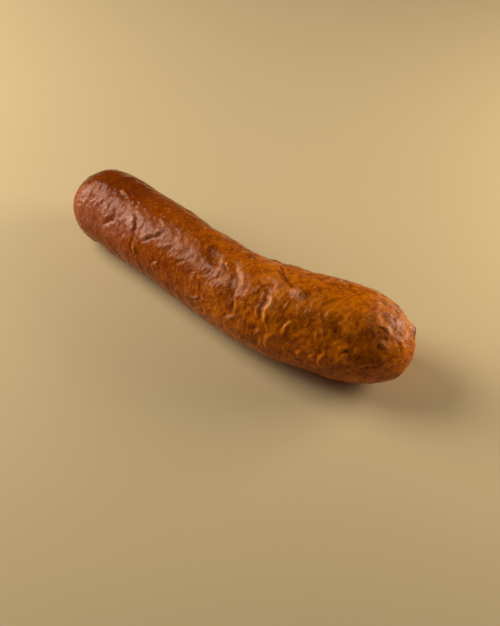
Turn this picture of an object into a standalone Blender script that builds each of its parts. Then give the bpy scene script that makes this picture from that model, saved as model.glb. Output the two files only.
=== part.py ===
# A thick smoked sausage, one link in a natural casing, lying on its side.
# Metres, +Z up. It runs along X and is bent to the left, towards +Y, a little past its middle.
# A place on the skin is given by its station, along the middle line from the -X end, and by an angle
# about that line: 0 is the inner side of the bend, 90 the top, 180 the outer side and 270 the underside.
import math
import random

import bpy
import bmesh
from mathutils import Vector, noise

MM = 0.001

# The link itself
LENGTH = 0.2016
SLIM_RADIUS = 0.0200
THICK_RADIUS = 0.0228
SWELL_AT = 0.615
SWELL_SPREAD = 0.35
MIDDLE_HEIGHT = 0.968

# The bend of the middle line, in degrees, and the shares of the length where it lies
BEND = 18.0
BEND_AT = 0.62
BEND_SPREAD = 0.234
END_SHARE = 0.22
LEFT_END_BEND = 2.6
RIGHT_END_BEND = 3.0

# The round ends: how far each reaches along the link, and how full its curve is
LEFT_DOME = 0.0193
LEFT_FULLNESS = 2.13
RIGHT_DOME = 0.0294
RIGHT_FULLNESS = 1.89
LEFT_TIP_SHIFT = -0.0016

# How finely the skin is faceted
AROUND = 54
ALONG = 108
SPINE_STEPS = 1200

# Meat pressing the casing out or leaving it slack: station and angle, reach along in mm, reach around in
# degrees, and height in mm
SWELLINGS = (
    ("slack behind the left dome", 18, 40, 6, 26, -0.7),
    ("long swell on the inner side", 57, 38, 14, 28, 0.4),
    ("dip on the inner side", 79, 38, 4, 20, -0.4),
    ("ring of meat before the bend", 96, 40, 4, 22, 0.4),
    ("dip before the bend", 103, 40, 4, 20, -0.4),
    ("swell inside the bend", 134, 42, 5, 24, 0.5),
    ("dip behind the bend", 144, 38, 4, 20, -0.4),
    ("broad swell near the right end", 167, 46, 10, 28, 0.6),
    ("outer swell near the left end", 37, 208, 6, 26, 0.5),
    ("outer swell at the middle", 103, 208, 8, 26, 0.4),
    ("outer swell of the bend", 140, 208, 9, 28, 0.6),
    ("slack at the outer right", 179, 212, 9, 24, -0.7),
    ("squared shoulder of the right end", 196, 222, 5, 30, 0.9),
    ("loose blister of casing", 58, 122, 7, 14, 0.5),
    ("bump beside the slit", 42, 157, 3, 8, 0.4),
    ("hollow on the top", 97, 103, 4, 12, -0.8),
    ("knuckle at the foot of the pinch", 145.5, 103, 3, 7.5, 0.9),
    ("bulge over the pinch", 130, 78, 5, 14, 0.5),
)

# Folds of the casing that show from above: start and end as station and angle, the bow of the fold between
# them, its width, the height of its crest and the depth of the groove beside it, all in mm. A groove deeper
# than 0 lies on the -X side of its crest and a negative one on the +X side.
FOLDS = (
    ("slit near the left end", (31, 151), (38.5, 134), 0.0, 1.9, 0.6, -1.0),
    ("left lip of the long crease", (45.5, 117), (51, 139), 1.2, 1.9, 0.7, -0.9),
    ("lower lip of the long crease", (50.5, 148), (58, 170), 0.5, 2.0, 0.7, 0.8),
    ("wavy rim of the blister", (57, 141), (68, 108), 0.6, 2.0, 0.8, -0.9),
    ("crescent under the blister", (68, 168), (73.5, 153), -0.6, 1.8, 0.7, 0.4),
    ("outer fold at the middle", (97, 173), (104, 160), -0.8, 1.8, 0.7, 0.4),
    ("first slanting fold", (101, 96), (107, 131), 0.7, 1.9, 0.7, 0.5),
    ("long slanting fold", (109.5, 92), (121, 151), 3.0, 2.2, 1.0, 1.0),
    ("third slanting fold", (115, 97), (122.5, 131), 1.6, 1.9, 0.6, 0.4),
    ("hook below the long fold", (118, 181), (122.5, 157), -1.0, 1.8, 0.6, 0.4),
    ("teardrop fold", (133.5, 115), (137, 153), -0.3, 2.2, 1.2, 1.2),
    ("pinch across the inner side", (127, 58), (141, 99), -1.6, 2.3, 0.8, -1.3),
    ("curved fold behind the teardrop", (147, 139), (145, 161), -0.8, 1.9, 0.6, 0.5),
    ("outer rib of the bend", (137.5, 158), (139.5, 190), 0.0, 1.9, 0.6, 0.5),
    ("first outer hook", (152, 169), (155.5, 186), 0.8, 1.8, 0.6, 0.5),
    ("second outer hook", (158, 164), (162.5, 181), 0.8, 1.8, 0.5, 0.4),
    ("third outer hook", (166, 163), (164, 186), -1.6, 1.8, 0.7, 0.5),
    ("short fold on the right end", (172, 154), (177, 144), 0.0, 1.8, 0.5, 0.3),
    ("fold on the right dome", (186.5, 125), (191, 138), -0.5, 1.9, 0.6, 0.4),
    ("arc on the right dome", (181, 181), (190, 163), -2.4, 1.8, 0.5, 0.3),
)

# A fold's section, as shares of its width, and the share of its length over which each end dies away
GROOVE_OFFSET = 1.25
GROOVE_WIDTH = 0.8
END_FADE = 0.3
END_START = 0.35
FOLD_MARGIN = 12

# Folds of the same make on the inner side and low on the outer side, where the seed sets their places:
# stations and angles that they keep to, and the least and most of each of a fold's sizes
SEED = 11
HIDDEN_FOLDS = 46
HIDDEN_STATIONS = (14, 188)
INNER_SIDE = (-62, 52)
OUTER_SIDE = (188, 246)
INNER_PART = 0.62
HIDDEN_HALF_ANGLE = (8, 22)
HIDDEN_LEAN = (-7, 7)
HIDDEN_BOW = (-1.2, 1.2)
HIDDEN_WIDTH = (1.8, 2.2)
HIDDEN_CREST = (0.35, 0.7)
HIDDEN_GROOVE = (0.3, 0.8)

# The gathered ends of the casing: station and angle of the twist, its reach and height in mm, and the
# dimple around it
TWISTS = (
    (198.3, 40, 2.1, 1.9, 4.4, 0.5),
    (5.0, -18, 2.2, 1.5, 4.8, 0.5),
)

# Unevenness of the meat under the casing: wave size and height
LUMPS = ((0.017, 0.00042), (0.0068, 0.00030), (0.0036, 0.00016))

# The underside, where the link's weight presses the folds out of the casing: degrees to each side
DOWN = 270
PRESSED_REACH = 12
PRESSED_FADE = 16

CASING_COLOUR = (0.30, 0.075, 0.006, 1.0)
CASING_ROUGHNESS = 0.42


def ease(t):
    """0 below 0, 1 above 1, and a smooth step between."""
    t = min(max(t, 0.0), 1.0)
    return t * t * (3 - 2 * t)


def heading(share):
    """Which way the middle line runs at this share of its length, as a turn from its start."""
    turn = BEND * ease((share - BEND_AT) / BEND_SPREAD + 0.5)
    turn += LEFT_END_BEND * ease((END_SHARE - share) / END_SHARE)
    turn += RIGHT_END_BEND * ease((share - 1 + END_SHARE) / END_SHARE)
    return math.radians(turn)


def dome(share):
    """How far the round ends have drawn the radius in, from 0 at a tip to 1 along the body."""
    left = min(share * LENGTH / LEFT_DOME, 1.0)
    right = min((1 - share) * LENGTH / RIGHT_DOME, 1.0)
    rise_left = (1 - (1 - left) ** LEFT_FULLNESS) ** (1 / LEFT_FULLNESS)
    rise_right = (1 - (1 - right) ** RIGHT_FULLNESS) ** (1 / RIGHT_FULLNESS)
    return rise_left * rise_right


def body_radius(share):
    """Radius of the link without its round ends: it thickens past the middle."""
    return SLIM_RADIUS + (THICK_RADIUS - SLIM_RADIUS) * ease((share - SWELL_AT) / SWELL_SPREAD + 0.5)


def middle_line():
    """Samples of the middle line from tip to tip, spaced evenly along the skin, with its chord on X."""
    shares = [0.5 - 0.5 * math.cos(math.pi * i / SPINE_STEPS) for i in range(SPINE_STEPS + 1)]
    place = Vector((0.0, 0.0, 0.0))
    places = [place.copy()]
    for before, after in zip(shares, shares[1:]):
        turn = heading((before + after) / 2)
        place = place + Vector((math.cos(turn), math.sin(turn), 0.0)) * (after - before) * LENGTH
        places.append(place.copy())
    chord = math.atan2(place.y, place.x)
    half = place.length / 2
    samples = []
    walked = 0.0
    for i, share in enumerate(shares):
        turn = heading(share) - chord
        side = Vector((-math.sin(turn), math.cos(turn), 0.0))
        spot = Vector((
            places[i].x * math.cos(chord) + places[i].y * math.sin(chord) - half,
            places[i].y * math.cos(chord) - places[i].x * math.sin(chord),
            body_radius(share) * MIDDLE_HEIGHT,
        ))
        spot += side * LEFT_TIP_SHIFT * max(1 - share * LENGTH / LEFT_DOME, 0.0) ** 2
        radius = body_radius(share) * dome(share)
        if samples:
            step = (share - samples[-1]["share"]) * LENGTH
            walked += math.hypot(step, radius - samples[-1]["radius"])
        samples.append({"share": share, "spot": spot, "turn": turn, "radius": radius, "walked": walked})
    return samples


def ring_at(samples, part):
    """The sample that lies this part of the way along the skin from tip to tip."""
    wanted = part * samples[-1]["walked"]
    low = 0
    high = len(samples) - 1
    while high - low > 1:
        mid = (low + high) // 2
        if samples[mid]["walked"] < wanted:
            low = mid
        else:
            high = mid
    first = samples[low]
    last = samples[high]
    mix = (wanted - first["walked"]) / (last["walked"] - first["walked"])
    ring = {name: first[name] + (last[name] - first[name]) * mix for name in first}
    ring["lean"] = math.atan2(last["radius"] - first["radius"], (last["share"] - first["share"]) * LENGTH)
    return ring


def angle_between(angle, other):
    """Signed difference of two angles in degrees, from -180 to 180."""
    return (angle - other + 180) % 360 - 180


def swelling(station, angle, swell):
    """Height of one swelling at this place on the skin, in mm."""
    _, at, around, reach, spread, height = swell
    along = (station - at) / reach
    across = angle_between(angle, around) / spread
    return height * math.exp(-(along * along + across * across))


def fold(station, angle, radius, shape):
    """Height of one fold at this place, in mm: a crest with a sharper groove along one side."""
    _, start, end, bow, width, height, groove = shape
    degree = math.radians(1) * max(radius, 1.0)
    run = Vector((end[0] - start[0], (end[1] - start[1]) * degree))
    place = Vector((station - start[0], angle_between(angle, start[1]) * degree))
    if place.length > run.length + FOLD_MARGIN:
        return 0.0
    part = place.dot(run) / run.length_squared
    off = (place.x * run.y - place.y * run.x) / run.length
    if run.y < 0:
        off = -off
    off -= bow * 4 * part * (1 - part) if 0 < part < 1 else 0.0
    fade = ease(min(part, 1 - part) / END_FADE + END_START)
    crest = height * math.exp(-(off / width) ** 2)
    valley_at = -math.copysign(GROOVE_OFFSET * width, groove)
    valley = abs(groove) * math.exp(-((off - valley_at) / (GROOVE_WIDTH * width)) ** 2)
    return fade * (crest - valley)


def twist(station, angle, radius, shape):
    """Height of a gathered end of the casing: a small nub in a shallow dimple, in mm."""
    at, around, reach, height, dimple, depth = shape
    across = math.radians(angle_between(angle, around)) * radius
    away = math.hypot(station - at, across)
    return height * math.exp(-(away / reach) ** 2) - depth * math.exp(-(away / dimple) ** 2)


def hidden_folds():
    """The folds of the inner side and of the lower part of the outer side."""
    pick = random.Random(SEED)
    folds = []
    for number in range(HIDDEN_FOLDS):
        inner = number < HIDDEN_FOLDS * INNER_PART
        station = pick.uniform(*HIDDEN_STATIONS)
        angle = pick.uniform(*(INNER_SIDE if inner else OUTER_SIDE))
        half_angle = pick.uniform(*HIDDEN_HALF_ANGLE)
        lean = pick.uniform(*HIDDEN_LEAN)
        bow = pick.uniform(*HIDDEN_BOW)
        width = pick.uniform(*HIDDEN_WIDTH)
        crest = pick.uniform(*HIDDEN_CREST)
        groove = pick.uniform(*HIDDEN_GROOVE) * pick.choice((-1, 1))
        start = (station - lean, angle - half_angle)
        end = (station + lean, angle + half_angle)
        folds.append(("hidden", start, end, bow, width, crest, groove))
    return folds


def relief(spot, station, angle, radius, folds):
    """Height of the skin above the plain link at this place, in metres."""
    height = sum(swelling(station, angle, swell) for swell in SWELLINGS)
    height += sum(fold(station, angle, radius, shape) for shape in folds)
    height += sum(twist(station, angle, radius, shape) for shape in TWISTS)
    bumps = sum(tall * noise.noise(spot / wave) for wave, tall in LUMPS)
    free = ease((abs(angle_between(angle, DOWN)) - PRESSED_REACH) / PRESSED_FADE)
    return height * MM * free + bumps


def skin_point(ring, angle, folds):
    """Where the skin lies at this angle about the ring of the middle line."""
    turn = ring["turn"]
    ahead = Vector((math.cos(turn), math.sin(turn), 0.0))
    side = Vector((-math.sin(turn), math.cos(turn), 0.0))
    lift = math.radians(angle)
    out = side * math.cos(lift) + Vector((0.0, 0.0, 1.0)) * math.sin(lift)
    plain = ring["spot"] + out * ring["radius"]
    outward = out * math.cos(ring["lean"]) - ahead * math.sin(ring["lean"])
    station = ring["share"] * LENGTH / MM
    point = plain + outward * relief(plain, station, angle, ring["radius"] / MM, folds)
    point.z = max(point.z, 0.0)
    return point


def casing_material():
    """Smoked natural casing: deep orange brown, half glossy."""
    material = bpy.data.materials.new("smoked casing")
    material.use_nodes = True
    shader = material.node_tree.nodes["Principled BSDF"]
    shader.inputs["Base Color"].default_value = CASING_COLOUR
    shader.inputs["Roughness"].default_value = CASING_ROUGHNESS
    shader.inputs["Metallic"].default_value = 0.0
    return material


def sausage_mesh():
    """A ball stretched over the bent middle line, with its poles at the two tips."""
    samples = middle_line()
    folds = list(FOLDS) + hidden_folds()
    ball = bmesh.new()
    bmesh.ops.create_uvsphere(ball, u_segments=AROUND, v_segments=ALONG, radius=1.0)
    for vertex in ball.verts:
        part = 1 - math.acos(min(max(vertex.co.z, -1.0), 1.0)) / math.pi
        angle = math.degrees(math.atan2(vertex.co.y, vertex.co.x)) % 360
        vertex.co = skin_point(ring_at(samples, part), angle, folds)
    bmesh.ops.recalc_face_normals(ball, faces=ball.faces)
    xs = [vertex.co.x for vertex in ball.verts]
    ys = [vertex.co.y for vertex in ball.verts]
    centre = Vector(((min(xs) + max(xs)) / 2, (min(ys) + max(ys)) / 2, 0.0))
    bmesh.ops.translate(ball, verts=ball.verts, vec=-centre)
    mesh = bpy.data.meshes.new("sausage")
    ball.to_mesh(mesh)
    ball.free()
    mesh.shade_smooth()
    return mesh


def clear_scene():
    for item in list(bpy.data.objects):
        bpy.data.objects.remove(item, do_unlink=True)


def build():
    clear_scene()
    collection = bpy.data.collections.new("smoked sausage")
    bpy.context.scene.collection.children.link(collection)
    sausage = bpy.data.objects.new("sausage", sausage_mesh())
    sausage.data.materials.append(casing_material())
    collection.objects.link(sausage)


build()
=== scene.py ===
import math
import random

import bpy
import numpy as np
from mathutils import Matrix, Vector, noise


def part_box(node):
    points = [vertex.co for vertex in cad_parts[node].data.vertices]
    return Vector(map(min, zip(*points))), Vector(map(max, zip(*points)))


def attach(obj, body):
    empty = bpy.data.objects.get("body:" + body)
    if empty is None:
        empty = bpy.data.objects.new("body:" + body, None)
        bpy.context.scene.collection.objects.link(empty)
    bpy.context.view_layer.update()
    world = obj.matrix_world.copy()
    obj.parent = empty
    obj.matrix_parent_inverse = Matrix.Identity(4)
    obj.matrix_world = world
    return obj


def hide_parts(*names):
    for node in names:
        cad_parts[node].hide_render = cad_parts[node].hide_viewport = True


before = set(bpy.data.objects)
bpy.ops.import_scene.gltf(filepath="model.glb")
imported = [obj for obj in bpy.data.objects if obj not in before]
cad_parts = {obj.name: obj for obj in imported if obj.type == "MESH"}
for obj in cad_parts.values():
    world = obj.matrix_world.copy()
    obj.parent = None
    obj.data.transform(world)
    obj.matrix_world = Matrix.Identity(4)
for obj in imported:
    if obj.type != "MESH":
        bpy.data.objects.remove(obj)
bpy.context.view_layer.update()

# The camera looks down on the outer side of the bend, from the right, so that the thick end is nearer.
# Its lens is long and it stands about half a metre away, as for a small dish on a table.
CAMERA_AZIMUTH = math.radians(35.3)
CAMERA_ELEVATION = math.radians(48)
CAMERA_DISTANCE = 0.527
CAMERA_LENS = 60
CAMERA_NEAREST = 0.01
LOOK_AT = Vector((0.0120, 0.0017, 0.0))

camera_back = Vector((
    math.sin(CAMERA_AZIMUTH) * math.cos(CAMERA_ELEVATION),
    -math.cos(CAMERA_AZIMUTH) * math.cos(CAMERA_ELEVATION),
    math.sin(CAMERA_ELEVATION),
))
bpy.ops.object.camera_add(location=LOOK_AT + camera_back * CAMERA_DISTANCE)
camera = bpy.context.object
camera.name = "camera"
camera.rotation_euler = camera_back.to_track_quat("Z", "Y").to_euler()
camera.data.lens = CAMERA_LENS
camera.data.clip_start = CAMERA_NEAREST
bpy.context.scene.camera = camera
bpy.context.scene.view_settings.view_transform = "Standard"

# The floor is a plain pale table top, matt and a little uneven in tone.
# It lies just under the link.
FLOOR_SIZE = 6.0
FLOOR_GAP = 0.0001
FLOOR_COLOUR = (0.60, 0.45, 0.23, 1.0)
FLOOR_SHADE = (0.56, 0.41, 0.205, 1.0)
FLOOR_CLOUDS = 3.0
FLOOR_ROUGHNESS = 0.8
FLOOR_SHINE = 0.2


def floor_material():
    """Matt paint with faint clouding."""
    material = bpy.data.materials.new("floor_paint")
    material.use_nodes = True
    nodes = material.node_tree.nodes
    links = material.node_tree.links
    shader = nodes["Principled BSDF"]
    place = nodes.new("ShaderNodeTexCoord")
    cloud = nodes.new("ShaderNodeTexNoise")
    cloud.inputs["Scale"].default_value = FLOOR_CLOUDS
    links.new(place.outputs["Object"], cloud.inputs["Vector"])
    tone = nodes.new("ShaderNodeMix")
    tone.data_type = "RGBA"
    tone.inputs["A"].default_value = FLOOR_COLOUR
    tone.inputs["B"].default_value = FLOOR_SHADE
    links.new(cloud.outputs["Fac"], tone.inputs["Factor"])
    links.new(tone.outputs["Result"], shader.inputs["Base Color"])
    shader.inputs["Roughness"].default_value = FLOOR_ROUGHNESS
    shader.inputs["Specular IOR Level"].default_value = FLOOR_SHINE
    return material


bpy.ops.mesh.primitive_plane_add(size=FLOOR_SIZE, location=(0, 0, -FLOOR_GAP))
floor = bpy.context.object
floor.name = "floor"
floor.data.materials.append(floor_material())

# Two soft boxes stand by the table: a tall one off the slim end, like a window, and a small low one behind
# the thick end. Their sheen runs along the link's flanks, and its near side stays in shade. The room is dim.
# Each has its name, place, width, height, power in watts and colour.
BOXES = (
    ("left_box", (-0.515, -0.130, 0.330), 0.36, 0.62, 5.7, (1.0, 0.97, 0.93)),
    ("right_box", (0.305, 0.300, 0.155), 0.28, 0.22, 1.85, (1.0, 0.94, 0.84)),
)
ROOM_LIGHT = 0.03
ROOM_COLOUR = (1.0, 0.97, 0.94, 1.0)


def hang_box(name, place, width, height, power, colour):
    """A soft box at this place, turned towards the link."""
    bpy.ops.object.light_add(type="AREA", location=place)
    box = bpy.context.object
    box.name = name
    box.data.shape = "RECTANGLE"
    box.data.size = width
    box.data.size_y = height
    box.data.energy = power
    box.data.color = colour
    box.rotation_euler = Vector(place).to_track_quat("Z", "Y").to_euler()
    box.visible_camera = False


for box_facts in BOXES:
    hang_box(*box_facts)

room = bpy.data.worlds.new("room")
bpy.context.scene.world = room
room.use_nodes = True
room.node_tree.nodes["Background"].inputs["Color"].default_value = ROOM_COLOUR
room.node_tree.nodes["Background"].inputs["Strength"].default_value = ROOM_LIGHT

# The link is minced meat packed in a natural casing and smoked: one body, slim at the left and thick at the
# right, with full round ends. It is turned on its own axis first, as a straight link, then bent along its
# middle line, and last its skin is worked and pressed flat where it lies. Its own sizes come first.
MM = 0.001
LENGTH = 0.2016
SLIM_RADIUS = 0.0200
THICK_RADIUS = 0.0228
SWELL_AT = 0.615
SWELL_SPREAD = 0.35
LEFT_DOME = 0.0193
LEFT_FULLNESS = 2.13
RIGHT_DOME = 0.0294
RIGHT_FULLNESS = 1.89
MIDDLE_HEIGHT = 0.968
LEFT_TIP_SHIFT = -0.0016
BEND = 18.0
BEND_AT = 0.62
BEND_SPREAD = 0.234
END_SHARE = 0.22
LEFT_END_BEND = 2.6
RIGHT_END_BEND = 3.0
SET_DOWN = (-0.000116, 0.008642, 0.0)
SKIN_AROUND = 256
SKIN_ALONG = 384
OUTLINE_STEPS = 6001
LINE_STEPS = 600
HALF_CUT = -1e-5
MERGE_DISTANCE = 1e-6


def ease(t):
    """0 below 0, 1 above 1, and a smooth step between. Takes a number or an array."""
    t = np.clip(t, 0.0, 1.0)
    return t * t * (3 - 2 * t)


def body_radius(share):
    """Radius of the link at this share of its length, without its round ends."""
    return SLIM_RADIUS + (THICK_RADIUS - SLIM_RADIUS) * ease((share - SWELL_AT) / SWELL_SPREAD + 0.5)


def link_radius(share):
    """Radius of the link at this share of its length, round ends included."""
    left = np.clip(share * LENGTH / LEFT_DOME, 0, 1)
    right = np.clip((1 - share) * LENGTH / RIGHT_DOME, 0, 1)
    rise_left = (1 - (1 - left) ** LEFT_FULLNESS) ** (1 / LEFT_FULLNESS)
    rise_right = (1 - (1 - right) ** RIGHT_FULLNESS) ** (1 / RIGHT_FULLNESS)
    return body_radius(share) * rise_left * rise_right


def half_outline(count):
    """Stations and radii of points spaced evenly along the skin, from tip to tip."""
    share = 0.5 - 0.5 * np.cos(np.linspace(0, np.pi, OUTLINE_STEPS))
    radius = link_radius(share)
    walked = np.concatenate([[0], np.cumsum(np.hypot(np.diff(share) * LENGTH, np.diff(radius)))])
    at = np.interp(np.linspace(0, walked[-1], count), walked, share)
    return at * LENGTH, link_radius(at)


# Half a circle is drawn out to the link's outline, and spun round its axis.
bpy.ops.object.select_all(action="DESELECT")
bpy.ops.mesh.primitive_circle_add(vertices=2 * SKIN_ALONG, radius=1)
skin = bpy.context.object
skin.name = "smoked_casing"
bpy.ops.object.mode_set(mode="EDIT")
bpy.ops.mesh.select_all(action="DESELECT")
bpy.ops.object.mode_set(mode="OBJECT")
for vertex in skin.data.vertices:
    vertex.select = vertex.co.y < HALF_CUT
bpy.ops.object.mode_set(mode="EDIT")
bpy.ops.mesh.delete(type="VERT")
bpy.ops.object.mode_set(mode="OBJECT")
stations, radii = half_outline(SKIN_ALONG + 1)
for vertex in skin.data.vertices:
    step = round((1 - math.atan2(max(vertex.co.y, 0.0), vertex.co.x) / math.pi) * SKIN_ALONG)
    vertex.co = (stations[step], radii[step], 0.0)
bpy.ops.object.mode_set(mode="EDIT")
bpy.ops.mesh.select_all(action="SELECT")
bpy.ops.mesh.spin(steps=SKIN_AROUND, angle=2 * math.pi, center=(0, 0, 0), axis=(1, 0, 0))
bpy.ops.mesh.select_all(action="SELECT")
bpy.ops.mesh.remove_doubles(threshold=MERGE_DISTANCE)
bpy.ops.mesh.normals_make_consistent(inside=False)
bpy.ops.object.mode_set(mode="OBJECT")

# Meat pressing the casing out or leaving it slack: station in mm and angle in degrees (0 is the inner side
# of the bend, 90 the top, 180 the outer side), reach along in mm, reach around in degrees, height in mm.
SWELLINGS = (
    ("slack behind the left dome", 18, 40, 6, 26, -0.7),
    ("long swell on the inner side", 57, 38, 14, 28, 0.4),
    ("dip on the inner side", 79, 38, 4, 20, -0.4),
    ("ring of meat before the bend", 96, 40, 4, 22, 0.4),
    ("dip before the bend", 103, 40, 4, 20, -0.4),
    ("swell inside the bend", 134, 42, 5, 24, 0.5),
    ("dip behind the bend", 144, 38, 4, 20, -0.4),
    ("broad swell near the right end", 167, 46, 10, 28, 0.6),
    ("outer swell near the left end", 37, 208, 6, 26, 0.5),
    ("outer swell at the middle", 103, 208, 8, 26, 0.4),
    ("outer swell of the bend", 140, 208, 9, 28, 0.6),
    ("slack at the outer right", 179, 212, 9, 24, -0.7),
    ("squared shoulder of the right end", 196, 222, 5, 30, 0.9),
    ("loose blister of casing", 58, 122, 7, 14, 0.5),
    ("bump beside the slit", 42, 157, 3, 8, 0.4),
    ("hollow on the top", 97, 103, 4, 12, -0.8),
    ("knuckle at the foot of the pinch", 145.5, 103, 3, 7.5, 0.9),
    ("bulge over the pinch", 130, 78, 5, 14, 0.5),
    ("rim over the end crease", 189, 52, 6, 10, 0.4),
    ("swell behind the hollow", 107, 108, 4, 16, 0.5),
    ("dip before the long fold", 116.5, 138, 3, 14, -0.4),
    ("swell behind the long fold", 124.5, 125, 4, 20, 0.4),
    ("dip before the teardrop", 131, 127, 2.4, 14, -0.5),
    ("swell behind the teardrop", 138.5, 131, 4, 15, 0.45),
)
# The uneven meat all over, in waves of three lengths: the length and the height, in mm.
LUMPS = ((17.0, 0.42), (6.8, 0.30), (3.6, 0.16))
LUMP_SEED = 0
# The dried casing's crinkles: wave length and height in mm, and a seed. The sharpness narrows their crests.
CRINKLES = ((3.4, 0.12, 6), (1.9, 0.07, 7))
CRINKLE_SHARPNESS = 3.2
SEED_SHIFT = (7.3, 3.1, 5.7)

# Folds of the slack casing: the course of each over the skin, then the width of its crest, the crest's
# height, the depth of the groove beside it and the height of the shelf of skin on its other side, all in
# mm. A groove of more than 0 lies on the left of its crest, and one of less on the right.
FOLDS = (
    ("slit near the left end", ((30.8, 150), (34, 143), (38.2, 132)), 1.6, 0.20, -0.38, 0.25),
    ("lower lip of the slit", ((33, 159), (36.5, 150), (40, 141)), 1.1, 0.35, 0.1, 0.0),
    ("pale crescent", ((44, 113), (48.5, 121), (50.6, 130), (51.2, 140)), 1.4, 0.35, -0.42, 0.25),
    ("long crease", ((49.5, 112), (53, 128), (55, 142), (57.5, 167)), 0.9, 0.15, 0.45, 0.1),
    ("lower lip of the long crease", ((53.5, 148), (55.5, 157), (57.8, 168)), 0.8, 0.45, 0.45, 0.15),
    ("wavy rim of the blister",
     ((55.5, 139), (59, 138), (61.2, 130), (64.5, 123), (66, 117), (68.5, 107)), 0.95, 0.45, -0.36, 0.3),
    ("top rim of the blister", ((66, 112), (64.5, 104), (60, 99)), 1.0, 0.3, 0.2, 0.0),
    ("crescent under the blister", ((68.5, 166), (71, 160), (74, 154)), 0.7, 0.45, 0.35, 0.1),
    ("arch at the left", ((29.5, 100), (31.5, 94), (36, 96), (40, 104)), 0.8, 0.4, -0.3, 0.0),
    ("lump in the left sheen", ((29, 122), (31, 127), (32, 134)), 1.0, 0.3, -0.25, 0.0),
    ("outer fold at the middle", ((96.5, 174), (99.5, 168), (104.5, 160)), 0.8, 0.5, -0.3, 0.1),
    ("second outer fold at the middle", ((106.3, 163), (109, 158)), 0.7, 0.35, -0.25, 0.0),
    ("outer dip at the middle", ((97.5, 169), (99, 176), (99.5, 190)), 1.0, -0.3, 0.2, 0.0),
    ("edge of the top hollow", ((100.5, 88), (102, 97), (105, 108), (106.3, 128)), 0.9, 0.45, 0.4, 0.2),
    ("thin fold", ((105, 99), (108.5, 105), (111, 113)), 0.6, 0.4, 0.25, 0.0),
    ("long slanting fold", ((109, 90), (115, 101), (119, 111), (121.5, 121), (122, 128)),
     1.2, 0.5, 0.45, 0.15),
    ("foot of the long fold", ((118.4, 124), (120, 135), (121.8, 144), (121.6, 157)),
     0.9, 0.55, 0.55, 0.2),
    ("third slanting fold", ((114.5, 98), (120.5, 112), (123, 131)), 0.8, 0.12, -0.2, 0.0),
    ("hook below the long fold", ((118, 180), (118.8, 168), (120.8, 161), (122.8, 157)),
     0.8, 0.45, 0.35, 0.1),
    ("lens before the teardrop", ((130.8, 131), (131.5, 140), (131.8, 149)), 0.7, 0.45, 0.3, 0.0),
    ("teardrop", ((133.2, 111), (134.8, 121), (135.3, 128), (134.4, 135), (134.6, 143), (136.8, 152)),
     1.15, 0.7, 0.50, 0.3),
    ("tail of the teardrop", ((135.4, 139), (136.2, 147), (138, 151)), 1.2, 0.35, -0.2, 0.0),
    ("pinch across the inner side",
     ((123, 56), (127.5, 65), (131.5, 80), (136.5, 90), (139.5, 93), (143, 99)), 0.85, 0.35, -0.75, 0.7),
    ("rim of the knuckle", ((142.5, 97), (146, 97), (149, 104), (149.2, 112)), 0.8, 0.4, -0.4, 0.15),
    ("foot of the knuckle", ((141.8, 103), (144, 112), (147.5, 115)), 0.7, 0.2, 0.4, 0.0),
    ("streak behind the teardrop", ((142.2, 128), (142.8, 123), (143.6, 118)), 0.6, 0.35, 0.2, 0.0),
    ("curved fold behind the teardrop", ((149, 133), (145.6, 145), (144.4, 152), (145, 161)),
     0.9, 0.4, 0.45, 0.2),
    ("notch under the teardrop", ((133.2, 158), (133.8, 166)), 0.8, 0.45, 0.35, 0.0),
    ("outer hook of the bend", ((138, 188), (137.7, 172), (138.6, 164), (141.5, 160)),
     0.8, 0.45, 0.4, 0.15),
    ("second rib of the bend", ((135.5, 166), (136, 176), (135.2, 190)), 0.8, 0.3, 0.3, 0.0),
    ("first outer hook", ((157, 169), (153.6, 170.5), (152.4, 176), (153.6, 184)), 0.9, 0.35, 0.35, 0.25),
    ("second outer hook", ((162.5, 168), (159.4, 171), (158.6, 175), (159.7, 179)), 0.8, 0.3, 0.3, 0.25),
    ("third outer hook", ((166.8, 161.5), (164.4, 167), (163.3, 173), (164, 187)), 0.9, 0.5, 0.45, 0.25),
    ("short fold on the right end", ((171.5, 155), (173.6, 151), (176.6, 145)), 0.7, 0.45, -0.3, 0.2),
    ("bump under the short fold", ((173, 158), (177, 153)), 1.7, 0.35, 0.1, 0.0),
    ("upper fold of the right dome", ((183.5, 110), (186.6, 107.5), (188.6, 111), (189.6, 118)),
     0.8, 0.45, 0.3, 0.0),
    ("fold on the right dome", ((187, 127), (189, 131), (191.2, 138)), 0.8, 0.5, 0.4, 0.15),
    ("arc on the right dome", ((181.6, 178), (182, 169), (185, 163), (190, 161.5)), 0.8, 0.35, -0.3, 0.0),
    ("small ridge near the right end", ((162.2, 112), (162.4, 122)), 0.8, 0.3, 0.2, 0.0),
    ("end crease along the rim", ((180, 80), (184, 69), (188, 64), (192, 64), (194.6, 66)),
     1.1, 0.3, -0.5, 0.3),
    ("end crease round the cap", ((193.6, 60), (194.9, 79), (195.5, 97), (196.2, 112)),
     0.8, 0.25, -0.45, 0.15),
)
# A fold's groove lies this many crest widths off and is this many wide, and the crest's other flank is this
# many times wider. Over a share of its length at each end a fold fades, and thins to a share of its width.
# Its shelf reaches this far, and its heights are reckoned this far off its course, both in mm.
GROOVE_OFFSET = 1.3
GROOVE_WIDTH = 1.0
GENTLE = 1.9
END_FADE = 0.3
THIN_END = 0.5
SHELF_REACH = 5.5
FOLD_MARGIN = 7.0
# The link's usual radius, and the least that angles are measured with near the tips, in mm.
USUAL_RADIUS = 20
LEAST_RADIUS = 3.0
LEAST_BEND_RADIUS = 4
LEAST_FOLD_RADIUS = 6
# How far a fold's course strays from the drawn one, in mm: the amount and the wave, coarse and fine.
WANDER = 0.7
WANDER_WAVE = 5.0
WANDER_FINE = 0.5
WANDER_FINE_WAVE = 1.9
ALONG_SEED = 1
AROUND_SEED = 3
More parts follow.
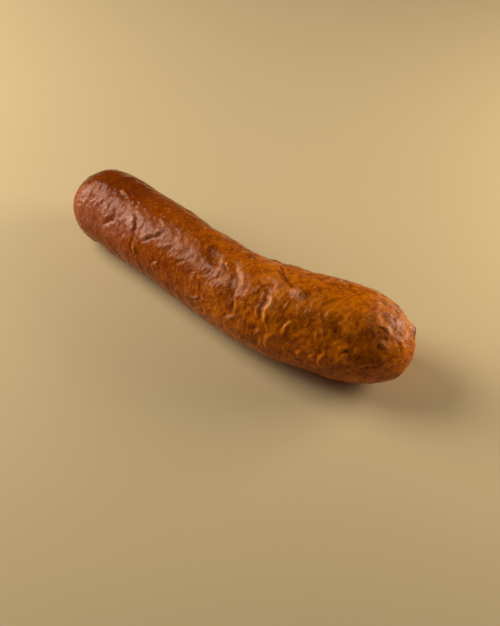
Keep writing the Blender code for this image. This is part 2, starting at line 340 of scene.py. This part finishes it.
# The corners of a course are cut this many times, each time by this share of the way to the next corner.
CORNER_CUTS = 3
CORNER_SHARE = 0.25

# Folds of the same make where the link turns away, and small pleats all over. A seed sets their places.
FOLD_SEED = 11
HIDDEN_FOLDS = 46
HIDDEN_STATIONS = (14, 188)
INNER_SIDE = (-62, 52)
OUTER_SIDE = (188, 246)
INNER_PART = 0.62
INNER_HEIGHT = 0.75
OUTER_HEIGHT = 0.5
HIDDEN_HALF_ANGLE = (8, 22)
HIDDEN_LEAN = (-7, 7)
HIDDEN_BOW = (-5.2, 5.2)
HIDDEN_WIDTH = (0.99, 1.21)
HIDDEN_CREST = (0.20, 0.50)
HIDDEN_GROOVE = (0.3, 0.8)
HIDDEN_SHELF = 0.1
PLEAT_SEED = 5
PLEATS = 420
PLEAT_LENGTH = (2.5, 8.0)
PLEAT_WIDTH = (0.5, 0.8)
PLEAT_HEIGHT = (0.05, 0.20)
PLEAT_MARGIN = 4
PLEAT_LEAN = 34
PLEAT_BOW = (-0.9, 0.9)
PLEAT_GROOVE = (0.4, 1.3)
# The slim end is smoother: from this station on the pleats grow over this many mm, from this share of their
# height to all of it.
SMOOTH_END = (16, 18, 0.3)

# Grains of fat that stand up under the casing and glint: station, angle, reach and height in mm. The listed
# ones also get a painted glint in their colour. Others of the same make lie all over, where a seed sets their
# places.
GRAINS = (
    (45.5, 103.5, 0.7, 0.35), (58.5, 75.6, 0.6, 0.30), (60.6, 93, 0.6, 0.30),
    (61.0, 100, 0.5, 0.22), (42, 156, 0.9, 0.35), (21.5, 162, 0.7, 0.20),
    (112.5, 178, 0.6, 0.30), (122.5, 160, 0.6, 0.25), (162.5, 137, 0.6, 0.25),
    (133.5, 163, 0.8, 0.25), (31.5, 160, 0.8, 0.25), (73, 127, 0.6, 0.25),
)
GRAIN_SEED = 21
SEEDED_GRAINS = 260
GRAIN_REACH = (0.45, 1.0)
GRAIN_HEIGHT = (0.06, 0.24)
GRAIN_MARGIN = 3

# The gathered ends: station and angle of the twist, reach and height of its nub in mm, and reach and depth
# of the dimple round it.
TWISTS = (
    (197.8, 48, 2.1, 1.9, 4.4, 0.5),
    (5.0, -18, 2.2, 1.5, 4.8, 0.5),
)
# The pleats that run into a twist: how many, their height and reach in mm, the factor that brings them to
# that height, and how far they stray as they run.
TWIST_PLEATS = 13
TWIST_PLEAT_HEIGHT = 0.15
TWIST_PLEAT_REACH = 7.5
TWIST_PLEAT_PEAK = 2.3
TWIST_WANDER = 2.2

# Where a film of fat has dried pale on the casing, partly painted sheen, and where smoke has made it darker
# or painted
# shade darkens it: the course of each, its half width in mm and its strength, more than 0 for fat and sheen
# and less for smoke and shade.
STAINS_SHEENS_AND_SHADES = (
    # The pale film rows below are partly dried fat and partly painted sheen, with painted highlights along
    # lips and crests.
    ("film on the slim end", ((14, 146), (28, 142), (40, 136)), 7.0, 0.30),
    ("strip before the long crease", ((46.3, 119), (48.6, 128), (50.6, 139)), 1.2, 0.50),
    ("film on the blister", ((51, 120), (56, 122), (60, 122)), 3.8, 0.36),
    ("film above the blister", ((62, 112), (65, 112)), 1.8, 0.30),
    ("film on the rim of the blister",
     ((56, 139), (59, 138), (61.5, 130), (64.5, 123), (67, 115)), 0.6, 0.60),
    ("film on the arch", ((30, 98), (32.5, 94.5), (38, 100)), 0.5, 0.55),
    ("film under the slit", ((33, 158), (37, 149), (40.5, 141)), 0.7, 0.50),
    ("film on the outer fold at the middle", ((99.5, 168), (104.5, 159.5)), 0.6, 0.60),
    ("film below the long fold", ((119.2, 166), (122.3, 157)), 0.6, 0.45),
    ("film behind the blister", ((68, 112), (76, 111), (84, 116)), 4.2, 0.24),
    ("film before the hollow", ((86, 119), (93, 121)), 3.0, 0.12),
    ("film behind the hollow", ((101.8, 99), (104, 110), (107, 122)), 1.9, 0.35),
    ("film along the long fold", ((110.8, 92), (115.5, 102), (119.2, 113), (122, 126)), 1.3, 0.35),
    ("film along the teardrop", ((133.6, 112), (135.2, 121), (135.4, 127)), 0.8, 0.40),
    ("film behind the teardrop", ((137, 126), (138, 132)), 1.3, 0.20),
    ("film on the knuckle", ((143.2, 99), (148.2, 110)), 1.2, 0.60),
    ("film on the right dome", ((187.5, 129), (191, 136)), 0.9, 0.35),
    ("film on the right end", ((191, 66), (194, 84), (193, 104)), 3.5, 0.20),
    ("film round the right end", ((186, 70), (189, 88), (187, 108)), 6.0, 0.17),
    # Painted shade on top of the slim end and round its tip, in the next three rows.
    ("painted shade on top of the slim end", ((7, 84), (18, 76), (34, 80)), 7.0, -0.45),
    ("painted shade on the left tip", ((0.5, 50), (0.5, 168)), 3.5, -0.22),
    ("painted shade round the left tip", ((0.5, 40), (0.5, 168)), 7.5, -0.30),
    # Painted shade in the hollow and in the grooves beside folds, in the next four rows.
    ("painted shade in the top hollow", ((95, 95), (98, 102), (99.5, 112)), 2.2, -0.50),
    ("painted shade before the foot of the long fold", ((116.2, 128), (119.3, 150)), 1.6, -0.45),
    ("painted shade before the teardrop", ((132.0, 113), (132.6, 126), (132.6, 140)), 1.0, -0.55),
    ("painted shade beside the outer dip", ((97.5, 168), (98.8, 182)), 1.1, -0.45),
    ("smoke on the thick end", ((166.3, 127), (169, 131)), 1.4, -0.55),
    # Painted shade in the creases round the knuckle, in the next two rows.
    ("painted shade above the knuckle", ((141.8, 97.5), (146, 96), (149.6, 102)), 0.5, -0.45),
    ("painted shade below the knuckle", ((142.2, 104), (144.6, 112.5), (148.5, 114.5)), 0.5, -0.45),
    ("smoke over the thick end", ((152, 130), (168, 128), (180, 126)), 3.5, -0.08),
    ("smoke under the right dome", ((178, 156), (186, 158), (192, 156)), 1.2, -0.18),
    # Painted shade along the lower part of the outer side.
    ("painted shade low on the outer side", ((22, 206), (60, 204), (120, 204), (186, 206)), 6.5, -0.15),
    # Painted shade in the crease of the pinch.
    ("painted shade in the pinch", ((132, 82), (136, 89.5), (139.5, 94), (142, 97.5)), 0.5, -0.60),
    ("charred end of the right twist", ((198.0, 46), (198.6, 48)), 1.0, -1.0),
    ("charred end of the left twist", ((4.6, -18), (5.0, -18)), 0.9, -1.0),
)
# A mark's edge fades over this share of its half width.
MARK_EDGE = 0.9

# The angle of the underside, and how far to each side of it the link's weight presses the folds out, and
# over how much more they come back, in degrees.
DOWN = 270
PRESSED_REACH = 12
PRESSED_FADE = 16


def angle_between(angle, other):
    """Signed difference of two angles in degrees, from -180 to 180."""
    return (angle - other + 180) % 360 - 180


def rounded(course):
    """The same course with its corners cut, so that it runs smoothly."""
    course = np.array(course, dtype=float)
    for _ in range(CORNER_CUTS):
        before = course[:-1] * (1 - CORNER_SHARE) + course[1:] * CORNER_SHARE
        after = course[:-1] * CORNER_SHARE + course[1:] * (1 - CORNER_SHARE)
        cut = np.stack([before, after], axis=1).reshape(-1, 2)
        course = np.concatenate([course[:1], cut, course[-1:]])
    return course


def follow(station, angle, radius, course):
    """Signed distance to the course in mm, more than 0 on its right, and the share of it walked there."""
    course = rounded(course)
    if course[-1, 1] < course[0, 1]:
        course = course[::-1]
    centre = course[:, 1].mean()
    degree = np.radians(1) * np.maximum(radius, LEAST_RADIUS)
    around = angle_between(angle, centre) * degree
    steps = np.hypot(np.diff(course[:, 0]), np.diff(course[:, 1]) * np.radians(1) * radius.mean())
    walked = np.concatenate([[0], np.cumsum(steps)])
    nearest = np.full(station.shape, np.inf)
    side = np.ones(station.shape)
    share = np.zeros(station.shape)
    for number, (first, last) in enumerate(zip(course, course[1:])):
        run_x = last[0] - first[0]
        run_y = (last[1] - first[1]) * degree
        to_x = station - first[0]
        to_y = around - (first[1] - centre) * degree
        length = np.maximum(run_x * run_x + run_y * run_y, 1e-9)
        along = np.clip((to_x * run_x + to_y * run_y) / length, 0, 1)
        away = np.hypot(to_x - along * run_x, to_y - along * run_y)
        closer = away < nearest
        nearest = np.where(closer, away, nearest)
        side = np.where(closer, np.sign(to_x * run_y - to_y * run_x), side)
        share = np.where(closer, (walked[number] + along * steps[number]) / walked[-1], share)
    return nearest * side, share


def fold_height(off, share, width, crest, groove, shelf):
    """Heights of a fold's ridge and of its shelf, in mm, at this distance off its course."""
    fade = ease(np.minimum(share, 1 - share) / END_FADE)
    width = width * (THIN_END + (1 - THIN_END) * fade)
    groove_at = -np.copysign(GROOVE_OFFSET, groove) * width
    flank = np.where(off * np.copysign(1, groove) > 0, width * GENTLE, width)
    height = crest * np.exp(-(off / flank) ** 2)
    height -= abs(groove) * np.exp(-((off - groove_at) / (GROOVE_WIDTH * width)) ** 2)
    rise = ease(0.5 + np.copysign(0.5, groove) * off / width)
    return fade * height, fade * shelf * rise * np.exp(-(off / SHELF_REACH) ** 2)


def press_fold(ridges, shelves, station, angle, radius, shape):
    """Adds one fold to the heights of the skin near it."""
    _, course, *sizes = shape
    course = np.array(course, dtype=float)
    degree = math.radians(1) * USUAL_RADIUS
    middle = (course[:, 0].min() + course[:, 0].max()) / 2
    centre = course[:, 1].mean()
    reach = np.ptp(course[:, 0]) / 2 + FOLD_MARGIN
    spread = np.abs(course[:, 1] - centre).max() + FOLD_MARGIN / degree
    around = spread * USUAL_RADIUS / np.maximum(radius, LEAST_FOLD_RADIUS)
    close = (np.abs(station - middle) < reach) & (np.abs(angle_between(angle, centre)) < around)
    off, share = follow(station[close], angle[close], radius[close], course)
    ridge, shelf = fold_height(off, share, *sizes)
    ridges[close] += ridge
    shelves[close] += shelf


def hidden_folds():
    """The folds of the inner side and of the lower part of the outer side."""
    pick = random.Random(FOLD_SEED)
    folds = []
    for number in range(HIDDEN_FOLDS):
        inner = number < HIDDEN_FOLDS * INNER_PART
        at = pick.uniform(*HIDDEN_STATIONS)
        around = pick.uniform(*(INNER_SIDE if inner else OUTER_SIDE))
        half_angle = pick.uniform(*HIDDEN_HALF_ANGLE)
        lean = pick.uniform(*HIDDEN_LEAN)
        bow = pick.uniform(*HIDDEN_BOW)
        width = pick.uniform(*HIDDEN_WIDTH)
        crest = pick.uniform(*HIDDEN_CREST)
        groove = pick.uniform(*HIDDEN_GROOVE) * pick.choice((-1, 1))
        course = ((at - lean, around - half_angle), (at + bow, around), (at + lean, around + half_angle))
        tall = INNER_HEIGHT if inner else OUTER_HEIGHT
        folds.append(("hidden", course, width, crest * tall, groove * tall, HIDDEN_SHELF))
    return folds


def small_pleats():
    """Short low pleats of the dried casing, mostly running round the link."""
    pick = random.Random(PLEAT_SEED)
    grows_from, grows_over, least = SMOOTH_END
    pleats = []
    for _ in range(PLEATS):
        at = pick.uniform(PLEAT_MARGIN, LENGTH / MM - PLEAT_MARGIN)
        around = pick.uniform(0, 360)
        length = pick.uniform(*PLEAT_LENGTH)
        lean = math.radians(pick.gauss(0, PLEAT_LEAN))
        reach = length / 2 * math.sin(lean)
        half_angle = math.degrees(length / 2 * math.cos(lean) / USUAL_RADIUS)
        bow = pick.uniform(*PLEAT_BOW)
        width = pick.uniform(*PLEAT_WIDTH)
        height = pick.uniform(*PLEAT_HEIGHT)
        height *= least + (1 - least) * float(ease((at - grows_from) / grows_over))
        groove = height * pick.uniform(*PLEAT_GROOVE) * pick.choice((-1, 1))
        course = ((at - reach, around - half_angle), (at + bow, around), (at + reach, around + half_angle))
        pleats.append(("pleat", course, width, height, groove, 0.0))
    return pleats


def fat_grains():
    """The grains that show, and others of the same make all over the link."""
    pick = random.Random(GRAIN_SEED)
    grains = list(GRAINS)
    for _ in range(SEEDED_GRAINS):
        at = pick.uniform(GRAIN_MARGIN, LENGTH / MM - GRAIN_MARGIN)
        grains.append((at, pick.uniform(0, 360), pick.uniform(*GRAIN_REACH), pick.uniform(*GRAIN_HEIGHT)))
    return grains


def waves(places, size, seed):
    """Smooth noise from -1 to 1 over these places in mm, in waves of this size."""
    shift = Vector([seed * step for step in SEED_SHIFT])
    return np.array([noise.noise(Vector(place) / size + shift) for place in places])


def stray(places, seed):
    """How far the folds stray at these places, in mm."""
    return WANDER * waves(places, WANDER_WAVE, seed) + WANDER_FINE * waves(places, WANDER_FINE_WAVE, seed + 1)


def heading(share):
    """Which way the middle line runs at this share of its length, in radians from its start."""
    turn = BEND * ease((share - BEND_AT) / BEND_SPREAD + 0.5)
    turn = turn + LEFT_END_BEND * ease((END_SHARE - share) / END_SHARE)
    return np.radians(turn + RIGHT_END_BEND * ease((share - 1 + END_SHARE) / END_SHARE))


def middle_line():
    """Points of the middle line, with its chord on X and centred there."""
    share = np.linspace(0, 1, LINE_STEPS + 1)
    turn = heading((share[1:] + share[:-1]) / 2)
    x = np.concatenate([[0], np.cumsum(np.cos(turn))]) * LENGTH / LINE_STEPS
    y = np.concatenate([[0], np.cumsum(np.sin(turn))]) * LENGTH / LINE_STEPS
    chord = math.atan2(y[-1], x[-1])
    half = math.hypot(x[-1], y[-1]) / 2
    along = x * math.cos(chord) + y * math.sin(chord) - half
    aside = y * math.cos(chord) - x * math.sin(chord)
    return np.stack([along, aside, np.zeros(LINE_STEPS + 1)], axis=1)


def read_places(mesh, what="co"):
    """Every vertex's place or normal, as rows of x, y and z."""
    values = np.empty(len(mesh.vertices) * 3)
    mesh.vertices.foreach_get(what, values)
    return values.reshape(-1, 3)


# The straight skin is lifted to the height of its middle line, and bent along that line.
plain = read_places(skin.data)
station = plain[:, 0] / MM
radius = np.hypot(plain[:, 1], plain[:, 2]) / MM
angle = np.degrees(np.arctan2(plain[:, 2], plain[:, 1])) % 360
share = plain[:, 0] / LENGTH
plain[:, 2] += body_radius(share) * MIDDLE_HEIGHT
plain[:, 1] += LEFT_TIP_SHIFT * np.maximum(1 - share * LENGTH / LEFT_DOME, 0) ** 2
skin.data.vertices.foreach_set("co", plain.ravel())
skin.data.update()

spine_curve = bpy.data.curves.new("middle_line", "CURVE")
spine_curve.dimensions = "3D"
spine_curve.twist_mode = "Z_UP"
spine = spine_curve.splines.new("POLY")
spine.points.add(LINE_STEPS)
for point, place in zip(spine.points, middle_line()):
    point.co = (*place, 1.0)
spine_object = bpy.data.objects.new("middle_line", spine_curve)
bpy.context.scene.collection.objects.link(spine_object)
bend = skin.modifiers.new("bend", "CURVE")
bend.object = spine_object
bend.deform_axis = "POS_X"
bpy.context.view_layer.objects.active = skin
bpy.ops.object.modifier_apply(modifier="bend")
bpy.data.objects.remove(spine_object, do_unlink=True)
bpy.data.curves.remove(spine_curve)

# The skin is worked: meat under it, then folds, pleats and crinkles, and the gathered ends.
places = read_places(skin.data)
normals = read_places(skin.data, "normal")
in_mm = places / MM
wander = stray(in_mm, ALONG_SEED)
drift = stray(in_mm, AROUND_SEED)
moved_station = station + wander
moved_angle = angle + np.degrees(drift / np.maximum(radius, LEAST_BEND_RADIUS))


def spot(at, around, reach):
    """1 at this station and angle of the skin, and less within the reach round it."""
    off = np.radians(angle_between(angle, around)) * radius
    return np.exp(-((station - at) ** 2 + off ** 2) / reach ** 2)


meat = np.zeros(len(places))
for _, at, around, reach, spread, height in SWELLINGS:
    along = (station - at) / reach
    across = angle_between(angle, around) / spread
    meat += height * np.exp(-(along * along + across * across))

folds = np.zeros(len(places))
shelves = np.zeros(len(places))
for shape in list(FOLDS) + hidden_folds() + small_pleats():
    press_fold(folds, shelves, moved_station, moved_angle, radius, shape)

for at, around, reach, height in fat_grains():
    folds += height * spot(at, around, reach)

for at, around, reach, height, dimple, depth in TWISTS:
    off = np.hypot(station - at, np.radians(angle_between(angle, around)) * radius)
    meat += height * np.exp(-(off / reach) ** 2) - depth * np.exp(-(off / dimple) ** 2)
    centre = np.argmin(off)
    out = Vector(normals[centre])
    first = out.cross(Vector((0, 0, 1))).normalized()
    second = out.cross(first)
    away = (places - places[centre]) / MM
    bearing = np.arctan2(away @ np.array(second), away @ np.array(first))
    distance = np.linalg.norm(away, axis=1)
    gathered = np.cos(bearing * TWIST_PLEATS + wander * TWIST_WANDER)
    near = (distance / TWIST_PLEAT_REACH) * np.exp(-(distance / TWIST_PLEAT_REACH) ** 2) * TWIST_PLEAT_PEAK
    folds += TWIST_PLEAT_HEIGHT * gathered * near

crinkle = sum(
    tall * (1 - CRINKLE_SHARPNESS * np.abs(waves(in_mm, wave, seed)))
    for wave, tall, seed in CRINKLES
)
crinkle -= crinkle.mean()
lumps = sum(tall * waves(in_mm, wave, LUMP_SEED) for wave, tall in LUMPS)
free = ease((np.abs(angle_between(angle, DOWN)) - PRESSED_REACH) / PRESSED_FADE)
rise = (meat + folds + shelves + crinkle) * free + lumps
worked = places + normals * (rise * MM)[:, None] + np.array(SET_DOWN)
# No wrinkle stands outside the solid's own box.
node_low, node_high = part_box("sausage")
worked = np.clip(worked, np.array(node_low), np.array(node_high))
skin.data.vertices.foreach_set("co", worked.ravel())
skin.data.update()

# What the colour follows: how far each place stands on a crest, which gets painted highlight, or lies in a
# groove, which gets painted shade, and how strongly the film of fat, partly painted sheen, or the smoke and
# painted shade mark it. The crinkles count for less than the folds.
CRINKLE_SHADE = 0.7
crests = skin.data.attributes.new("fold", "FLOAT", "POINT")
crests.data.foreach_set("value", (folds + crinkle * CRINKLE_SHADE) * free)
stain_sheen_shade = np.zeros(len(places))
for _, course, half_width, strength in STAINS_SHEENS_AND_SHADES:
    off, _ = follow(moved_station, moved_angle, radius, course)
    stain_sheen_shade += strength * ease(1 - (np.abs(off) - half_width) / (half_width * MARK_EDGE))
# Painted glint: each listed grain gets a pale spot of full strength.
for at, around, reach, _ in GRAINS:
    stain_sheen_shade += spot(at, around, reach)
stain_sheen_shade_layer = skin.data.attributes.new("stain_sheen_shade", "FLOAT", "POINT")
stain_sheen_shade_layer.data.foreach_set("value", np.clip(stain_sheen_shade, -1, 1))
for face in skin.data.polygons:
    face.use_smooth = True


# Smoked casing: deep orange brown, redder and darker towards the slim end, mottled and half glossy. Crests
# of folds are golden, partly from fat under the stretched casing and partly painted highlight, their grooves
# carry painted shade, and specks of fat show through it, drawn out across the link.
SLIM_END = (0.250, 0.041, 0.0003, 1.0)
THICK_END = (0.610, 0.145, 0.0007, 1.0)
MOTTLE = (0.130, 0.011, 0.0003, 1.0)
SPECK = (0.740, 0.235, 0.0060, 1.0)
# The crest colour is partly painted highlight, and the groove colour is painted shade.
GOLDEN_CREST_AND_HIGHLIGHT = (0.740, 0.260, 0.0160, 1.0)
GROOVE_PAINTED_SHADE = (0.230, 0.038, 0.0003, 1.0)
# The pale film is partly dried fat and partly painted sheen; the dark colour is smoke and painted shade.
FAT_FILM_AND_SHEEN = (0.450, 0.215, 0.155, 1.0)
SMOKE_AND_PAINTED_SHADE = (0.070, 0.008, 0.0003, 1.0)
# Its clouds: how many of them to the metre, how detailed, how rough and how warped they are.
TONE_CLOUD = (22, 2, 0.5, 0.0)
BLOTCH_CLOUD = (225, 5, 0.62, 0.3)
PATCH_CLOUD = (105, 4, 0.6, 0.5)
SPECK_CLOUD = (430, 5, 0.66, 0.3)
FILM_SHEEN_CLOUD = (620, 5, 0.7, 0.6)
SHEEN_CLOUD = (420, 3, 0.5, 0.0)
GRAIN_CLOUD = (430, 2, 0.45, 0.0)
CLOUD_STRETCH = (2.2, 1.0, 1.0)
# Where each of these starts and stops in its cloud or in the relief of the folds, and its amount there.
TONE_STRAYS = (0.3, 0.7, -0.25, 0.25)
BLOTCH_SHOWS = (0.42, 0.68, 0.0, 0.80)
PATCH_SHOWS = (0.49, 0.70, 0.0, 0.62)
SPECK_SHOWS = (0.52, 0.70, 0.0, 0.75)
CREST_HIGHLIGHT_SHOWS = (0.24, 0.8, 0.0, 0.9)
GROOVE_SHADE_SHOWS = (-0.10, -0.75, 0.0, 0.7)
FILM_SHEEN_SHOWS = (0.44, 0.56, 0.0, 1.0)
FILM_SHEEN_OUTSIDE_GROOVES = (-0.30, 0.05, 0.15, 1.0)
DULLNESS = (0.3, 0.7, 0.17, 0.27)
DULLER_AT_THICK_END = 0.09
# Where along X the tone and the mottling change from the slim end's to the thick end's, in metres.
TONE_CHANGES = (-0.09, 0.07)
MOTTLE_CHANGES = (-0.08, 0.02)
# The amounts at the slim end, as shares of those at the thick end.
BLOTCH_AT_SLIM_END = 0.45
SPECK_AT_SLIM_END = 0.25
CREST_HIGHLIGHT_AT_SLIM_END = 0.5
# The finest creases of the skin: how many to the metre, where each one's edge starts and stops, their share
# beside the grain's and their depth in metres. Then how strongly the casing shines, and in what tint.
CREASES = 620
CREASE_EDGE = (0.0, 0.28)
CREASE_SHARE = 0.1
CREASE_DEPTH = 0.00018
SHINE = 0.18
SHINE_TINT = (1.0, 0.84, 0.60, 1.0)


def smoked_casing():
    """The casing's material, on its own coordinates in metres."""
    material = bpy.data.materials.new("smoked_casing")
    material.use_nodes = True
    nodes = material.node_tree.nodes
    links = material.node_tree.links
    shader = nodes["Principled BSDF"]
    place = nodes.new("ShaderNodeTexCoord").outputs["Object"]

    def cloud(scale, detail, rough, warp, over=place):
        """Soft noise over these coordinates."""
        node = nodes.new("ShaderNodeTexNoise")
        node.inputs["Scale"].default_value = scale
        node.inputs["Detail"].default_value = detail
        node.inputs["Roughness"].default_value = rough
        node.inputs["Distortion"].default_value = warp
        links.new(over, node.inputs["Vector"])
        return node.outputs["Fac"]

    def spread(value, low, high, to_low=0.0, to_high=1.0):
        """The value, taken from one range to another and kept inside it."""
        node = nodes.new("ShaderNodeMapRange")
        node.inputs["From Min"].default_value = low
        node.inputs["From Max"].default_value = high
        node.inputs["To Min"].default_value = to_low
        node.inputs["To Max"].default_value = to_high
        links.new(value, node.inputs["Value"])
        return node.outputs["Result"]

    def reckon(kind, first, second):
        """The sum or the product of two values, each from a node or a plain number."""
        node = nodes.new("ShaderNodeMath")
        node.operation = kind
        for socket, value in zip(node.inputs, (first, second)):
            if isinstance(value, float):
                socket.default_value = value
            else:
                links.new(value, socket)
        return node.outputs["Value"]

    def plus(first, second):
        return reckon("ADD", first, second)

    def times(first, second):
        return reckon("MULTIPLY", first, second)

    def blend(amount, under, over):
        """One colour laid over another by this amount."""
        node = nodes.new("ShaderNodeMix")
        node.data_type = "RGBA"
        links.new(amount, node.inputs["Factor"])
        for name, colour in (("A", under), ("B", over)):
            if isinstance(colour, tuple):
                node.inputs[name].default_value = colour
            else:
                links.new(colour, node.inputs[name])
        return node.outputs["Result"]

    def read_mask(name):
        """A value that the skin carries at every place."""
        node = nodes.new("ShaderNodeAttribute")
        node.attribute_name = name
        return node.outputs["Fac"]

    apart = nodes.new("ShaderNodeSeparateXYZ")
    links.new(place, apart.inputs["Vector"])
    relief = read_mask("fold")
    stain_sheen_shade_mask = read_mask("stain_sheen_shade")
    stretch = nodes.new("ShaderNodeVectorMath")
    stretch.operation = "MULTIPLY"
    stretch.inputs[1].default_value = CLOUD_STRETCH
    links.new(place, stretch.inputs[0])
    across = stretch.outputs["Vector"]
    to_thick = spread(apart.outputs["X"], *MOTTLE_CHANGES)

    def growing(share):
        """From this share at the slim end to all of it at the thick end."""
        return plus(times(to_thick, 1 - share), share)

    # The ground tone, with its dark mottling and the broader dark patches of the thick end.
    along = plus(spread(apart.outputs["X"], *TONE_CHANGES), spread(cloud(*TONE_CLOUD), *TONE_STRAYS))
    colour = blend(times(along, along), SLIM_END, THICK_END)
    blotch = spread(cloud(*BLOTCH_CLOUD), *BLOTCH_SHOWS)
    colour = blend(times(blotch, growing(BLOTCH_AT_SLIM_END)), colour, MOTTLE)
    dark_patch = spread(cloud(*PATCH_CLOUD), *PATCH_SHOWS)
    colour = blend(times(dark_patch, to_thick), colour, MOTTLE)

    # Specks of fat, golden crests with painted highlight, and painted shade in the grooves.
    speck = spread(cloud(*SPECK_CLOUD, across), *SPECK_SHOWS)
    colour = blend(times(speck, growing(SPECK_AT_SLIM_END)), colour, SPECK)
    crest = spread(relief, *CREST_HIGHLIGHT_SHOWS)
    colour = blend(times(crest, growing(CREST_HIGHLIGHT_AT_SLIM_END)), colour, GOLDEN_CREST_AND_HIGHLIGHT)
    colour = blend(spread(relief, *GROOVE_SHADE_SHOWS), colour, GROOVE_PAINTED_SHADE)

    # The film of dried fat with painted sheen, broken up and kept out of the grooves, and then the smoke and
    # the painted shade.
    film_and_sheen = times(spread(stain_sheen_shade_mask, 0.0, 1.0), spread(cloud(*FILM_SHEEN_CLOUD, across), *FILM_SHEEN_SHOWS))
    colour = blend(times(film_and_sheen, spread(relief, *FILM_SHEEN_OUTSIDE_GROOVES)), colour, FAT_FILM_AND_SHEEN)
    colour = blend(spread(stain_sheen_shade_mask, 0.0, -1.0), colour, SMOKE_AND_PAINTED_SHADE)
    links.new(colour, shader.inputs["Base Color"])

    # The gloss, a little duller at the thick end, and the finest creases.
    dull = plus(spread(cloud(*SHEEN_CLOUD), *DULLNESS), times(to_thick, DULLER_AT_THICK_END))
    links.new(dull, shader.inputs["Roughness"])
    creases = nodes.new("ShaderNodeTexVoronoi")
    creases.feature = "DISTANCE_TO_EDGE"
    creases.inputs["Scale"].default_value = CREASES
    links.new(place, creases.inputs["Vector"])
    grain = times(spread(creases.outputs["Distance"], *CREASE_EDGE), CREASE_SHARE)
    grain = plus(grain, cloud(*GRAIN_CLOUD, across))
    bump = nodes.new("ShaderNodeBump")
    bump.inputs["Strength"].default_value = 1.0
    bump.inputs["Distance"].default_value = CREASE_DEPTH
    links.new(grain, bump.inputs["Height"])
    links.new(bump.outputs["Normal"], shader.inputs["Normal"])
    shader.inputs["Specular IOR Level"].default_value = SHINE
    shader.inputs["Specular Tint"].default_value = SHINE_TINT
    return material


skin.data.materials.append(smoked_casing())
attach(skin, "root")
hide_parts("sausage")
